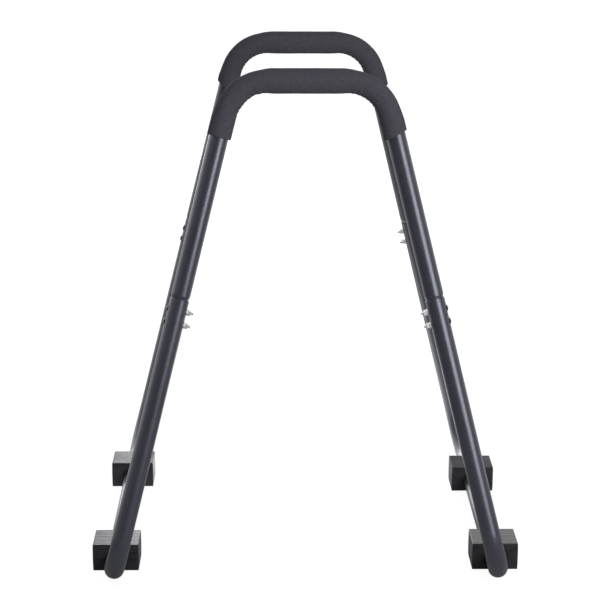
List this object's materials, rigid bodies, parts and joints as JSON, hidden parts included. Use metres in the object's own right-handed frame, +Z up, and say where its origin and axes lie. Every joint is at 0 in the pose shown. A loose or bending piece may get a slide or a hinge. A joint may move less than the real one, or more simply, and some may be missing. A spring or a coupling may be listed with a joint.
{
  "type": "dip station",
  "caption": "Free-standing dip station: facing padded tube handles on splayed legs, bolted to floor frames that rest on sliding rubber foot blocks.",
  "frame": {"origin": "on the floor, at the middle of the stand", "axes": "+Z up, X along the handle bars, +Y from the front handle to the rear handle"},
  "size_m": [0.8724, 0.8546, 1.0349],
  "materials": {
    "tube_coat": "satin powder coat",
    "grip_foam": "matte foam",
    "foot_rubber": "matte, fine ridges on top",
    "bolt_black": "black oxide, satin",
    "washer_zinc": "bright zinc, rolled",
    "nut_zinc": "bright zinc"
  },
  "bodies": {
    "frame": {"front_handle_tube": "tube_coat", "rear_handle_tube": "tube_coat", "left_base_tube": "tube_coat", "right_base_tube": "tube_coat", "front_grip": "grip_foam", "rear_grip": "grip_foam", "front_left_upper_bolt": "bolt_black", "front_left_lower_bolt": "bolt_black", "front_right_upper_bolt": "bolt_black", "front_right_lower_bolt": "bolt_black", "rear_left_upper_bolt": "bolt_black", "rear_left_lower_bolt": "bolt_black", "rear_right_upper_bolt": "bolt_black", "rear_right_lower_bolt": "bolt_black", "front_left_upper_washer": "washer_zinc", "front_left_lower_washer": "washer_zinc", "front_right_upper_washer": "washer_zinc", "front_right_lower_washer": "washer_zinc", "rear_left_upper_washer": "washer_zinc", "rear_left_lower_washer": "washer_zinc", "rear_right_upper_washer": "washer_zinc", "rear_right_lower_washer": "washer_zinc", "front_left_upper_nut": "nut_zinc", "front_left_lower_nut": "nut_zinc", "front_right_upper_nut": "nut_zinc", "front_right_lower_nut": "nut_zinc", "rear_left_upper_nut": "nut_zinc", "rear_left_lower_nut": "nut_zinc", "rear_right_upper_nut": "nut_zinc", "rear_right_lower_nut": "nut_zinc"},
    "front_left_block": {"front_left_foot": "foot_rubber"},
    "front_right_block": {"front_right_foot": "foot_rubber"},
    "rear_left_block": {"rear_left_foot": "foot_rubber"},
    "rear_right_block": {"rear_right_foot": "foot_rubber"}
  },
  "joints": [
    {"name": "front_left_foot_slide", "type": "slide", "parent": "frame", "child": "front_left_block", "axis": [0, 1, 0], "range_m": [-0.024, 0.202]},
    {"name": "front_right_foot_slide", "type": "slide", "parent": "frame", "child": "front_right_block", "axis": [0, 1, 0], "range_m": [-0.024, 0.202]},
    {"name": "rear_left_foot_slide", "type": "slide", "parent": "frame", "child": "rear_left_block", "axis": [0, -1, 0], "range_m": [-0.032, 0.194]},
    {"name": "rear_right_foot_slide", "type": "slide", "parent": "frame", "child": "rear_right_block", "axis": [0, -1, 0], "range_m": [-0.066, 0.16]}
  ]
}
